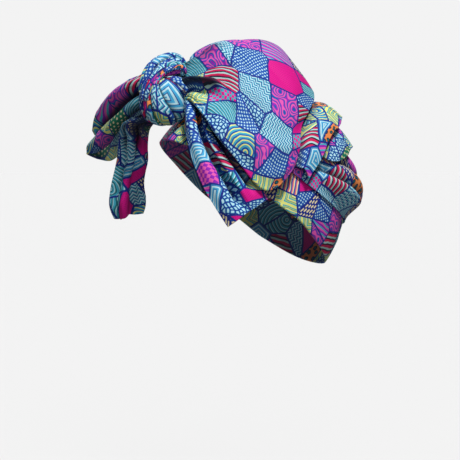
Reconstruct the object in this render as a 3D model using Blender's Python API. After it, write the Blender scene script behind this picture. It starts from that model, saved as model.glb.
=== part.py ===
"""A tied turban head wrap: a crown wrap over a head band, a front knot, a bow of two loops and two tails.

Lengths are in millimetres in the tables and become metres when a mesh is made. The origin is the middle of the
head, in the plane of the wrap's opening. +Z is up, the wearer faces -Y and the wearer's left is +X.
"""

import math
from typing import NamedTuple

import bmesh
import bpy
from mathutils import Matrix, Vector

MM = 0.001

# The head that the wrap is tied for, a 55 cm adult head, as half axes in X, Y and Z.
HEAD_HALF = Vector((75.0, 94.0, 95.0))

CLOTH = 2.0  # wall of one folded layer of cotton
SEAT_GAP = 0.35  # clearance between a piece and what it rests on
WRAP_TILT = 35.0  # how far the wrap's axis leans back from upright, in degrees
FOLD_FADE = 0.4  # how far past its ends a fold fades out, as a share of its length

# Head band. Polar angles are degrees from the wrap's axis, around is degrees from the brow.
BAND_TOP = 58.0
BAND_LIFT = 1.3
BAND_NAPE_LIFT = 1.5
BAND_TURNS = 44
BAND_ROWS = 6

# Crown wrap: pleats fan out from the knot and a loose pouch hangs at the back.
CROWN_EDGE = 70.0
CROWN_LIFT = 5.2
CROWN_HEM_LIFT = 4.1
CROWN_HEM_BLEND = 12.0
CROWN_ROWS = 14
CROWN_PLEATS = 9
CROWN_PLEAT_DEPTH = 1.3
POUCH_DEPTH = 17.5
POUCH_RISE = 0.5
POUCH_ABOVE = 22.0
POUCH_BELOW = 12.0
POUCH_SPREAD = 62.0

# Knot: a wound lump of cloth.
KNOT_CENTRE = Vector((2.0, -80.0, 90.5))
KNOT_HALF = Vector((20.0, 23.0, 24.5))
KNOT_PLEATS = 9
KNOT_PLEAT_DEPTH = 1.6
KNOT_TWIST = 20.0
KNOT_SEGMENTS = 36
KNOT_RINGS = 14


class Spot(NamedTuple):
    """A place seen from the middle of the head: degrees from the front, degrees up, and mm off the head."""

    turn: float
    rise: float
    lift: float


class Rim(NamedTuple):
    """Where the band's lower edge is: degrees round from the brow, and degrees from the wrap's axis."""

    around: float
    polar: float


class Fold(NamedTuple):
    """A ridge, or a valley where it is negative, along a cloth: from and to along it and across it, and its size."""

    along_from: float
    along_to: float
    across_from: float
    across_to: float
    width: float
    height_from: float
    height_to: float


RIM = (
    Rim(0, 91),
    Rim(45, 90),
    Rim(90, 93),
    Rim(112, 92.5),
    Rim(135, 94.5),
    Rim(158, 95),
    Rim(180, 94.5),
)

# Each row is a section across the loop: its tuck on the crown, crest, shoulder, belly, lower belly, hem and
# turned-in lip. The rows go from the gather behind the knot out to the loop's rounded end.
LOOP_LEFT = (
    (Spot(-14, 62, 14), Spot(-8, 66, 31), Spot(0, 63.5, 29.5), Spot(6, 58.5, 24.5), Spot(8, 55, 21.5),
     Spot(9, 52.5, 19.5), Spot(5, 54.5, 16.5)),
    (Spot(-34, 68, 13.5), Spot(-11, 68.5, 43), Spot(4, 66.5, 37.5), Spot(19, 60, 31), Spot(24, 55, 27),
     Spot(26, 50.5, 25.5), Spot(20, 52.5, 21.5)),
    (Spot(-70, 74, 12), Spot(-9, 75, 47.5), Spot(18, 69, 40), Spot(31, 61, 33), Spot(35, 54, 28.5),
     Spot(37, 45, 25.5), Spot(32.5, 47.5, 21)),
    (Spot(-110, 76, 11.5), Spot(-1, 82, 48.8), Spot(40, 70, 42), Spot(50, 61.5, 35), Spot(52, 50, 28.5),
     Spot(49.5, 35.5, 24), Spot(46.5, 39, 19.5)),
    (Spot(-140, 76, 11.5), Spot(110, 87, 48.6), Spot(66, 68, 44), Spot(66, 56, 33.5), Spot(64, 43.5, 27.5),
     Spot(59, 26, 21.5), Spot(56, 29.5, 17.5)),
    (Spot(-160, 72, 11.5), Spot(149, 80.5, 47.5), Spot(85, 68, 44), Spot(77, 52, 31), Spot(74, 35, 25.5),
     Spot(67.5, 16.5, 18.5), Spot(65.5, 20, 14.8)),
    (Spot(-175, 66, 11.5), Spot(154, 75, 44.5), Spot(105, 66, 39), Spot(88, 48, 27.5), Spot(81, 28, 22.5),
     Spot(76, 8, 15.2), Spot(74.5, 11.5, 12.2)),
    (Spot(175, 61, 12.5), Spot(157.5, 68.5, 36), Spot(116, 60, 32), Spot(96, 45, 25), Spot(88, 27, 20.5),
     Spot(84, 7.2, 14), Spot(83, 10.5, 11.6)),
    (Spot(168, 58, 14), Spot(159.3, 62, 28), Spot(127, 57, 26), Spot(105, 44, 22), Spot(94.5, 27, 18.5),
     Spot(93, 14, 14), Spot(92, 17, 11.8)),
    (Spot(165, 56, 16), Spot(160, 57.5, 23.5), Spot(138, 53.5, 21.5), Spot(114, 45, 18), Spot(103.5, 30.5, 15),
     Spot(98.5, 22, 14.5), Spot(97, 22.5, 12.5)),
)
LOOP_LEFT_FOLDS = (
    Fold(0.05, 0.5, 0.38, 0.25, 0.045, -4.5, -2.0),
    Fold(0.05, 0.55, 0.45, 0.36, 0.05, 3.0, 2.0),
    Fold(0.17, 0.34, 0.6, 0.6, 0.055, -9.0, -7.0),
    Fold(0.05, 0.5, 0.69, 0.66, 0.05, 2.0, 1.0),
    Fold(0.15, 0.8, 0.75, 0.76, 0.04, -1.5, -1.5),
)

# Each row is a section across the loop, from its top edge down to its bottom edge, out along the front layer and
# back along the rear one. Points are x, y, z.
LOOP_RIGHT = (
    ((-16, -85, 103), (-15, -88, 97), (-15, -91, 90), (-16, -88, 82)),
    ((-34, -83.5, 115), (-28, -87, 105), (-29, -89, 94), (-33, -88, 83)),
    ((-47, -90, 113), (-41, -96, 102), (-41, -97, 90), (-47, -93, 78)),
    ((-68, -94, 107), (-59, -103, 96), (-60, -105, 78), (-67, -99, 64)),
    ((-92, -98, 99), (-82, -106, 86), (-83, -108, 69), (-86, -103, 50)),
    ((-110, -101, 87), (-104, -108, 73), (-104, -111, 58), (-105, -109, 42)),
    ((-121, -102, 76), (-120, -107, 61), (-120, -111, 50), (-119, -114, 41)),
    ((-126, -97, 80), (-127, -98, 66), (-127, -100, 51), (-122, -101, 36)),
    ((-116, -89, 95), (-118, -91, 76), (-118, -92, 54), (-109, -92, 35)),
    ((-96, -84, 105), (-98, -86, 87), (-97, -88, 67), (-88, -87, 47)),
    ((-70, -79, 112), (-71, -82, 99), (-70, -84, 86), (-66, -83, 70)),
    ((-42, -74, 113), (-43, -75, 104), (-42, -77, 94), (-42, -78, 83)),
    ((-17, -71, 108), (-17, -72, 101), (-17, -73, 93), (-17, -74, 85)),
)
LOOP_RIGHT_FOLDS = (
    Fold(0.06, 0.4, 0.5, 0.5, 0.13, -8.0, -7.0),
    Fold(0.06, 0.42, 0.2, 0.2, 0.12, 3.0, 2.0),
    Fold(0.12, 0.42, 0.82, 0.8, 0.12, 3.0, 3.0),
    Fold(0.58, 1.0, 0.45, 0.5, 0.12, -3.0, -4.0),
)

# Each row is a section across the tail, from its outer edge over its ridge to its inner edge.
TAIL_RIGHT = (
    ((-12, -90, 80), (-8, -93, 76), (-3, -93, 73), (2, -90, 70)),
    ((-46, -100, 68), (-36, -104, 69), (-24, -101, 66), (-12, -90, 63)),
    ((-67, -100, 55), (-52, -99, 56), (-42, -94, 55), (-38, -82, 52)),
    ((-76, -99, 36), (-60, -98, 36), (-49, -92, 35), (-54, -76, 35)),
    ((-79, -103, 14), (-63, -102, 14), (-53, -95, 13), (-60, -77, 14)),
    ((-79, -105, -4), (-65, -104, -6), (-55, -96, -6), (-60, -76, -5)),
    ((-76, -101, -18), (-66, -100, -21), (-59, -95, -18), (-61, -78, -15)),
)
TAIL_RIGHT_FOLDS = (Fold(0.1, 1.0, 0.35, 0.3, 0.09, -3.0, -3.0), Fold(0.1, 0.9, 0.55, 0.6, 0.1, 2.5, 2.0))

# Each row is a section across the tail: its front edge, front ridge, valley, rear ridge and tuck under the loop.
TAIL_LEFT = (
    (Spot(13, 48, 20), Spot(15.5, 49, 19.5), Spot(18, 49.5, 17.5), Spot(20.5, 50, 16.5), Spot(23, 50, 14.5)),
    (Spot(21, 46.5, 16), Spot(25, 47, 18), Spot(29, 47.5, 13.5), Spot(33, 47.5, 15), Spot(38, 47, 12)),
    (Spot(28, 36.6, 14.5), Spot(33.5, 37, 17.5), Spot(39.5, 36.5, 11), Spot(46, 36, 13.5), Spot(53, 35, 10.5)),
    (Spot(37, 21, 14.5), Spot(43.5, 22, 18), Spot(50, 22, 10.5), Spot(57, 22, 14), Spot(66, 21, 10)),
    (Spot(45, 6.5, 17), Spot(52, 8.5, 19.5), Spot(59, 9, 13), Spot(66, 9.5, 14), Spot(75, 9.5, 9.4)),
    (Spot(51.5, -4, 19), Spot(57.5, -2.5, 19.5), Spot(64, -0.5, 15), Spot(71, 1, 13), Spot(78.5, 4, 9)),
    (Spot(57.5, -14, 19), Spot(62.5, -10.5, 18), Spot(68, -7, 14.5), Spot(74, -3.5, 11.5), Spot(80.5, 0.5, 8.6)),
)
TAIL_LEFT_FOLDS = (Fold(0.2, 0.8, 0.12, 0.1, 0.06, -1.5, -1.0),)

# Each row is a section across the side fold, from the edge under the loop to its free edge: over the back first,
# then down the side.
SIDE_FOLD_FRONT = (
    (Spot(174, 60, 9.2), Spot(176, 55, 9.6), Spot(178, 50, 11), Spot(178, 44, 13), Spot(177, 38, 15)),
    (Spot(150, 60, 10.5), Spot(157, 54, 16), Spot(158, 50, 21), Spot(160.8, 45, 23.5), Spot(160.8, 39.8, 25)),
    (Spot(125, 54, 11), Spot(128, 48, 15), Spot(131, 44, 20), Spot(137, 40, 21.5), Spot(143, 36.5, 22)),
    (Spot(112, 47, 10.5), Spot(116, 42, 13.5), Spot(120, 39, 18.5), Spot(127, 37, 20.5), Spot(134.6, 35.2, 21)),
    (Spot(105, 38, 10), Spot(110, 37, 12.2), Spot(114.5, 36, 17), Spot(120, 33.5, 18.5), Spot(126.5, 30.5, 18)),
    (Spot(102, 28, 9.5), Spot(106, 27, 11.4), Spot(109.5, 26.5, 15.5), Spot(113, 25, 16), Spot(118.5, 23, 15)),
    (Spot(101.5, 20, 9), Spot(103.5, 19, 10.4), Spot(105.5, 18, 12), Spot(107, 15.5, 12.5), Spot(108.3, 12.3, 12)),
)
SIDE_FOLD_REAR = (
    (Spot(180, 46, 10), Spot(179, 38, 12), Spot(178, 31, 14), Spot(177, 24, 15.5)),
    (Spot(158, 45, 12), Spot(160, 38, 15), Spot(161.4, 32, 17.5), Spot(161.4, 25.3, 18.8)),
    (Spot(135, 40, 11), Spot(139, 35, 13.5), Spot(146, 30, 15.5), Spot(153, 24.5, 17)),
    (Spot(128, 33, 11), Spot(131, 29, 13.5), Spot(138, 26, 15), Spot(145, 22, 15.5)),
    (Spot(122, 26, 11), Spot(125, 23, 12), Spot(130, 21, 13), Spot(135, 20.5, 13.5)),
)

# The two rolled strands that pass over the knot: centre lines in x, y, z, and half width and half thickness.
ROLL_OUTER = (
    (-10.9, -97, 94),
    (-10.9, -93, 106),
    (-10.9, -87.7, 116.4),
    (-10.9, -79.5, 123.6),
    (-10.9, -71.8, 126.2),
    (-10.9, -64.5, 124.5),
    (-10.9, -60, 117),
    (-10.9, -59.5, 109),
    (-10.9, -61, 102),
)
ROLL_INNER = (
    (7.5, -102, 88),
    (7.5, -99, 97.5),
    (7.5, -94, 107),
    (7.5, -86.4, 114.8),
    (7.5, -77.8, 118.6),
    (7.5, -68.4, 118.6),
    (7.5, -63.5, 113.3),
)
ROLL_OUTER_HALF = (8.6, 8.0)
ROLL_INNER_HALF = (8.3, 6.0)

COLOURS = {
    "crown_wrap": (0.08, 0.45, 0.55),
    "head_band": (0.45, 0.06, 0.25),
    "knot": (0.35, 0.6, 0.6),
    "roll_outer": (0.15, 0.5, 0.55),
    "roll_inner": (0.1, 0.25, 0.6),
    "bow_loop_left": (0.75, 0.02, 0.4),
    "bow_loop_right": (0.6, 0.1, 0.45),
    "tail_left": (0.1, 0.35, 0.65),
    "tail_right": (0.1, 0.3, 0.5),
    "side_fold_front": (0.3, 0.5, 0.6),
    "side_fold_rear": (0.1, 0.45, 0.6),
}


def direction(turn, rise):
    """The unit vector for degrees round from the front and degrees up."""
    t, r = math.radians(turn), math.radians(rise)
    return Vector((math.cos(r) * math.sin(t), -math.cos(r) * math.cos(t), math.sin(r)))


def head_radius(ray):
    """How far the head's surface is along a unit vector from its middle."""
    return 1.0 / math.sqrt(sum((c / h) ** 2 for c, h in zip(ray, HEAD_HALF)))


def place(spot):
    """The point of a Spot, or of plain x, y, z."""
    if not isinstance(spot, Spot):
        return Vector(spot)
    ray = direction(spot.turn, spot.rise)
    return ray * (head_radius(ray) + spot.lift)


def spline(points, at):
    """The point at 0 to 1 along a smooth curve through evenly spaced points."""
    last = len(points) - 1
    i = min(int(at * last), last - 1)
    f = at * last - i
    b, c = points[i], points[i + 1]
    a = points[i - 1] if i else b * 2 - c
    d = points[i + 2] if i + 2 <= last else c * 2 - b
    return 0.5 * (2 * b + (c - a) * f + (2 * a - 5 * b + 4 * c - d) * f * f + (3 * b - 3 * c + d - a) * f**3)


def smooth(value):
    """0 to 1 with flat ends, for a value from 0 to 1."""
    v = min(1.0, max(0.0, value))
    return v * v * (3 - 2 * v)


def fold_height(folds, along, across):
    """How far the folds lift a cloth at that place."""
    total = 0.0
    for fold in folds:
        part = (along - fold.along_from) / (fold.along_to - fold.along_from)
        window = smooth(1 + part / FOLD_FADE) * smooth(1 + (1 - part) / FOLD_FADE)
        part = min(1.0, max(0.0, part))
        middle = fold.across_from + (fold.across_to - fold.across_from) * part
        bell = math.exp(-(((across - middle) / fold.width) ** 2))
        total += bell * window * (fold.height_from + (fold.height_to - fold.height_from) * part)
    return total


def cloth_surface(sections, folds):
    """A function of along and across, each 0 to 1, through the sections, with the folds raised off it."""
    rows = [[place(spot) for spot in row] for row in sections]

    def base(along, across):
        return spline([spline(row, across) for row in rows], along)

    def surface(along, across):
        point = base(along, across)
        step = 0.01
        a0, a1 = max(along - step, 0), min(along + step, 1)
        c0, c1 = max(across - step, 0), min(across + step, 1)
        normal = (base(a1, across) - base(a0, across)).cross(base(along, c1) - base(along, c0)).normalized()
        return point + normal * fold_height(folds, along, across)

    return surface


def off_knot(surface, both_ends=False):
    """The same cloth, cut back to where it comes out of the knot."""
    reach = KNOT_HALF + Vector((1, 1, 1)) * (SEAT_GAP + KNOT_PLEAT_DEPTH * 0.3 + CLOTH * 0.15)

    def inside(along, across):
        away = surface(along, across) - KNOT_CENTRE
        return sum((a / r) ** 2 for a, r in zip(away, reach)) < 1

    def leaves(start, end, across):
        steps = [start + (end - start) * i / 40 for i in range(41)]
        within = [step for step in steps if inside(step, across)]
        if not within:
            return start
        low, high = within[-1], within[-1] + (end - start) / 40
        for _ in range(12):
            middle = (low + high) / 2
            low, high = (middle, high) if inside(middle, across) else (low, middle)
        return high

    def trimmed(along, across):
        first = leaves(0.0, 0.45, across)
        last = leaves(1.0, 0.55, across) if both_ends else 1.0
        return surface(first + (last - first) * along, across)

    return trimmed


def grid_mesh(name, along_cells, across_cells, surface):
    """A mesh whose grid of faces follows a surface function of two places from 0 to 1."""
    bm = bmesh.new()
    bmesh.ops.create_grid(bm, x_segments=along_cells, y_segments=across_cells, size=0.5)
    for vert in bm.verts:
        vert.co = surface(vert.co.x + 0.5, vert.co.y + 0.5) * MM
    bmesh.ops.remove_doubles(bm, verts=bm.verts, dist=0.02 * MM)
    mesh = bpy.data.meshes.new(name)
    bm.to_mesh(mesh)
    bm.free()
    return mesh


def material(name):
    """A plain cotton material in the piece's main colour."""
    made = bpy.data.materials.new(name + "_cotton")
    made.use_nodes = True
    shader = made.node_tree.nodes["Principled BSDF"]
    shader.inputs["Base Color"].default_value = (*COLOURS[name], 1.0)
    shader.inputs["Roughness"].default_value = 0.8
    shader.inputs["Metallic"].default_value = 0.0
    return made


def add_piece(name, mesh):
    """Links a smooth-shaded object of that mesh with its own material."""
    mesh.shade_smooth()
    piece = bpy.data.objects.new(name, mesh)
    bpy.context.scene.collection.objects.link(piece)
    mesh.materials.append(material(name))
    return piece


def thicken(piece, thickness=CLOTH):
    """Gives a sheet its wall, half on each side."""
    wall = piece.modifiers.new("wall", "SOLIDIFY")
    wall.thickness = thickness * MM
    wall.offset = 0.0
    wall.use_rim = True
    return piece


def wrap_ray(polar, around):
    """The unit vector at polar degrees from the wrap's axis and around degrees, 0 to the front."""
    p, a = math.radians(polar), math.radians(around)
    upright = Vector((math.sin(p) * math.sin(a), -math.sin(p) * math.cos(a), math.cos(p)))
    return Matrix.Rotation(-math.radians(WRAP_TILT), 3, "X") @ upright


def turn_and_rise(ray):
    """Degrees from the front and degrees up of a unit vector."""
    return math.degrees(math.atan2(ray.x, -ray.y)), math.degrees(math.asin(max(-1, min(1, ray.z))))


def crown_lift(ray, polar):
    """How far the crown wrap stands off the head: taut in front, a loose pouch at the back, pleats from the knot."""
    turn, rise = turn_and_rise(ray)
    spread = POUCH_ABOVE if rise > POUCH_RISE else POUCH_BELOW
    pouch = math.exp(-(((rise - POUCH_RISE) / spread) ** 2)) * math.exp(-(((180 - abs(turn)) / POUCH_SPREAD) ** 2))
    knot_ray = KNOT_CENTRE.normalized()
    away = math.acos(max(-1, min(1, ray.dot(knot_ray))))
    side = knot_ray.cross(Vector((1, 0, 0))).normalized()
    around = math.atan2(ray.x, ray.dot(side))
    pleats = math.cos(around * CROWN_PLEATS) * CROWN_PLEAT_DEPTH * math.sin(min(away, math.pi)) ** 2
    full = CROWN_LIFT + pleats + POUCH_DEPTH * pouch
    blend = min(1.0, max(0.0, (CROWN_EDGE - polar) / CROWN_HEM_BLEND))
    blend = blend * blend * (3 - 2 * blend)
    return CROWN_HEM_LIFT + (full - CROWN_HEM_LIFT) * blend


def rim_polar(around):
    """The band's lower edge, degrees from the wrap's axis, at degrees round from the brow."""
    turn = abs((around + 180) % 360 - 180)
    for low, high in zip(RIM, RIM[1:]):
        if turn <= high.around:
            part = smooth((turn - low.around) / (high.around - low.around))
            return low.polar + (high.polar - low.polar) * part
    return RIM[-1].polar


def build_head_band():
    """The taut band round the head, from the brow over the ears to the nape."""

    def surface(along, across):
        around = 360 * along
        ray = wrap_ray(BAND_TOP + (rim_polar(around) - BAND_TOP) * across, around)
        nape = smooth((90 - math.degrees(math.acos(max(-1, min(1, ray.y))))) / 60) * across
        return ray * (head_radius(ray) + BAND_LIFT + BAND_NAPE_LIFT * nape)

    mesh = grid_mesh("head_band", BAND_TURNS, BAND_ROWS, surface)
    return thicken(add_piece("head_band", mesh))


def build_crown_wrap():
    """The cloth over the crown, whose hem overlaps the band."""

    def surface(along, across):
        polar = CROWN_EDGE * across
        ray = wrap_ray(polar, 360 * along)
        return ray * (head_radius(ray) + crown_lift(ray, polar))

    mesh = grid_mesh("crown_wrap", BAND_TURNS, CROWN_ROWS, surface)
    return thicken(add_piece("crown_wrap", mesh))


def knot_mesh(name, grow):
    """The knot's lump, pleated top to bottom, grown by that many mm."""
    bm = bmesh.new()
    bmesh.ops.create_uvsphere(bm, u_segments=KNOT_SEGMENTS, v_segments=KNOT_RINGS, radius=1.0)
    for vert in bm.verts:
        angle = math.atan2(vert.co.x, -vert.co.y) + math.radians(KNOT_TWIST) * vert.co.z
        pleat = abs(math.sin(angle * KNOT_PLEATS / 2)) * math.hypot(vert.co.x, vert.co.y)
        grown = KNOT_HALF + Vector((1, 1, 1)) * (grow + KNOT_PLEAT_DEPTH * (pleat - 0.7))
        vert.co = (KNOT_CENTRE + vert.co * grown) * MM
    mesh = bpy.data.meshes.new(name)
    bm.to_mesh(mesh)
    bm.free()
    return mesh


def build_knot():
    """The wound knot at the front."""
    return add_piece("knot", knot_mesh("knot", 0.0))


def add_cutter(name, mesh):
    """A hidden object that others are cut by."""
    cutter = bpy.data.objects.new(name, mesh)
    bpy.context.scene.collection.objects.link(cutter)
    cutter.hide_render = True
    cutter.display_type = "WIRE"
    return cutter


def cut(piece, cutter):
    """Takes the cutter's volume out of a piece."""
    trim = piece.modifiers.new("seat_" + cutter.name, "BOOLEAN")
    trim.operation = "DIFFERENCE"
    trim.object = cutter
    return piece


def build_cloth(name, sections, folds, cells, knot_ends=0):
    """A sheet through the sections, given its wall, that starts, or starts and ends, at the knot."""
    surface = cloth_surface(sections, folds)
    if knot_ends:
        surface = off_knot(surface, both_ends=knot_ends == 2)
    return thicken(add_piece(name, grid_mesh(name, cells[0], cells[1], surface)))


def roll_mesh(name, centre_line, half, cells=(16, 10)):
    """A closed flattened tube round a centre line, tapered at its ends."""
    points = [Vector(p) for p in centre_line]

    def surface(along, across):
        here = spline(points, along)
        ahead = (spline(points, min(along + 0.01, 1)) - spline(points, max(along - 0.01, 0))).normalized()
        outward = ahead.cross(Vector((1, 0, 0))).normalized()
        sideways = outward.cross(ahead)
        angle = math.tau * across
        taper = 0.3 + 0.7 * math.sqrt(max(0.0, 1 - abs(2 * along - 1) ** 4))
        return here + (sideways * (math.cos(angle) * half[0]) + outward * (math.sin(angle) * half[1])) * taper

    bm = bmesh.new()
    bmesh.ops.create_grid(bm, x_segments=cells[0], y_segments=cells[1], size=0.5)
    for vert in bm.verts:
        vert.co = surface(vert.co.x + 0.5, vert.co.y + 0.5) * MM
    bmesh.ops.remove_doubles(bm, verts=bm.verts, dist=0.02 * MM)
    bmesh.ops.holes_fill(bm, edges=bm.edges)
    bmesh.ops.recalc_face_normals(bm, faces=bm.faces)
    mesh = bpy.data.meshes.new(name)
    bm.to_mesh(mesh)
    bm.free()
    return mesh


def main():
    for leftover in list(bpy.data.objects):
        bpy.data.objects.remove(leftover)
    build_head_band()
    build_crown_wrap()
    build_knot()
    knot_cutter = add_cutter("knot_cutter", knot_mesh("knot_cutter", SEAT_GAP))
    rolls = (
        add_piece("roll_outer", roll_mesh("roll_outer", ROLL_OUTER, ROLL_OUTER_HALF)),
        add_piece("roll_inner", roll_mesh("roll_inner", ROLL_INNER, ROLL_INNER_HALF)),
    )
    for piece in rolls:
        cut(piece, knot_cutter)
    build_cloth("bow_loop_left", LOOP_LEFT, LOOP_LEFT_FOLDS, (22, 24), knot_ends=1)
    build_cloth("bow_loop_right", LOOP_RIGHT, LOOP_RIGHT_FOLDS, (26, 9), knot_ends=2)
    build_cloth("tail_left", TAIL_LEFT, TAIL_LEFT_FOLDS, (14, 12), knot_ends=1)
    build_cloth("tail_right", TAIL_RIGHT, TAIL_RIGHT_FOLDS, (14, 12), knot_ends=1)
    build_cloth("side_fold_front", SIDE_FOLD_FRONT, (), (12, 8))
    build_cloth("side_fold_rear", SIDE_FOLD_REAR, (), (8, 8))


main()
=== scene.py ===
"""Looks of a tied turban head wrap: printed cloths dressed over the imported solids, a studio and a camera.

Tables are in millimetres and degrees. A Spot is a place seen from the origin, in the middle of the wrap's
hollow, and a Point holds x, y and z. The front is at -Y, and +X is on the left of whoever wears the wrap.
"""

from __future__ import annotations

import logging
import math
from dataclasses import dataclass, field, replace
from enum import Enum
from typing import NamedTuple, Sequence, Union

import bmesh
import bpy
import numpy as np
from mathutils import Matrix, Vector

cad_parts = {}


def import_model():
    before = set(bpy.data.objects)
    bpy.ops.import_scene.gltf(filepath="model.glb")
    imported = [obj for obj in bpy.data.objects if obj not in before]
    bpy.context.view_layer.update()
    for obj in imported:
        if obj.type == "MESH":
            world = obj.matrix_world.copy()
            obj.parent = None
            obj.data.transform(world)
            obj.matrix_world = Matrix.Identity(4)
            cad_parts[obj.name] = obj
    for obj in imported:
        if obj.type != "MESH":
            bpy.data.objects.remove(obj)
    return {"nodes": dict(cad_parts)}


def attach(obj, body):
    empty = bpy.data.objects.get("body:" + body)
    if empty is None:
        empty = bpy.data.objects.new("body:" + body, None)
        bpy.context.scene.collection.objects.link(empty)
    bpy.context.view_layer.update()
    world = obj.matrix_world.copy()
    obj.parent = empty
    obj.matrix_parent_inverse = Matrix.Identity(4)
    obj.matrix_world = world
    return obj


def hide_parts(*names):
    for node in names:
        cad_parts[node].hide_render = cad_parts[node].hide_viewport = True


LOG = logging.getLogger("head_wrap")
MM = 0.001
FAR = 100.0  # mm, further than any patch reaches

Number = Union[int, float, "Signal"]
Colour = tuple[float, float, float]
Pair = tuple[float, float]
Inputs = dict[Union[str, int], object]


class Held(Enum):
    """How a cloth is held."""

    GATHERED = "gathered"
    STRETCHED = "stretched"
    FOLDED = "folded"


class Spot(NamedTuple):
    """Degrees from the front, degrees up and mm off the core."""

    turn: float
    rise: float
    lift: float


class Point(NamedTuple):
    """A place in mm."""

    x: float
    y: float
    z: float


class Rim(NamedTuple):
    """Where the band's lower edge is: degrees round from the front, degrees from the wrap's axis."""

    around: float
    polar: float


class Fold(NamedTuple):
    """A ridge or valley along a cloth, in shares of its length and width, with heights in mm.

    It has two ends, a width, a height at each end, and a squareness of its sides, from 2 for round.
    """

    along_from: float
    along_to: float
    across_from: float
    across_to: float
    width: float
    height_from: float
    height_to: float
    squareness: float = 2.0


Rows = tuple[tuple[Union[Spot, Point], ...], ...]


class Drape(NamedTuple):
    """A grid of points, their places on the flat cloth, both in mm, and how much painted shade each gets for
    lying in a fold, tuck or groove or under a neighbour, to 1.
    """

    points: np.ndarray
    uv: np.ndarray
    hollow: np.ndarray


Folds = tuple[Fold, ...]


@dataclass(frozen=True)
class Gather:
    """Fine pleats that run out from a gathered edge.

    Attributes:
        pleats: how many lie side by side across the cloth.
        depth: their height at the gather, in mm.
        reach: the share of the cloth's length over which they fade.
        both_ends: whether the far end is gathered too.
        seed: picks their spacing.
    """

    pleats: float = 9.0
    depth: float = 1.6
    reach: float = 0.25
    both_ends: bool = False
    seed: int = 1


@dataclass(frozen=True)
class Creases:
    """Soft waves and sharper creases of worn cotton.

    Attributes:
        wave: height of the broad waves, in mm.
        wave_length: their length, in mm.
        crease: height of the creases, in mm.
        crease_length: their spacing, in mm.
        heading: direction that they run, in degrees from along the cloth.
        seed: picks their places.
    """

    wave: float = 1.0
    wave_length: float = 55.0
    crease: float = 0.5
    crease_length: float = 24.0
    heading: float = 0.0
    seed: int = 1


# Node arithmetic


class Signal:
    """A socket of a node tree that can be added, multiplied and compared."""

    def __init__(self, graph: "Graph", socket: bpy.types.NodeSocket) -> None:
        """Keeps an output socket and the graph that it is in."""
        self.graph = graph
        self.socket = socket

    def __add__(self, other: Number) -> "Signal":
        """The sum."""
        return self.graph.math("ADD", self, other)

    def __sub__(self, other: Number) -> "Signal":
        """The difference."""
        return self.graph.math("SUBTRACT", self, other)

    def __mul__(self, other: Number) -> "Signal":
        """The product."""
        return self.graph.math("MULTIPLY", self, other)

    def __truediv__(self, other: Number) -> "Signal":
        """The quotient."""
        return self.graph.math("DIVIDE", self, other)

    def __gt__(self, other: Number) -> "Signal":
        """1 where this is greater, else 0."""
        return self.graph.math("GREATER_THAN", self, other)

    def __lt__(self, other: Number) -> "Signal":
        """1 where this is less, else 0."""
        return self.graph.math("LESS_THAN", self, other)

    def fract(self) -> "Signal":
        """The part after the decimal point."""
        return self.graph.math("FRACT", self)

    def floor(self) -> "Signal":
        """The whole number below."""
        return self.graph.math("FLOOR", self)

    def size(self) -> "Signal":
        """The value without its sign."""
        return self.graph.math("ABSOLUTE", self)

    def sine(self) -> "Signal":
        """The sine."""
        return self.graph.math("SINE", self)

    def cosine(self) -> "Signal":
        """The cosine."""
        return self.graph.math("COSINE", self)

    def fold(self, length: float) -> "Signal":
        """A triangle wave from 0 to half of length."""
        return self.graph.math("PINGPONG", self, length / 2)


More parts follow.
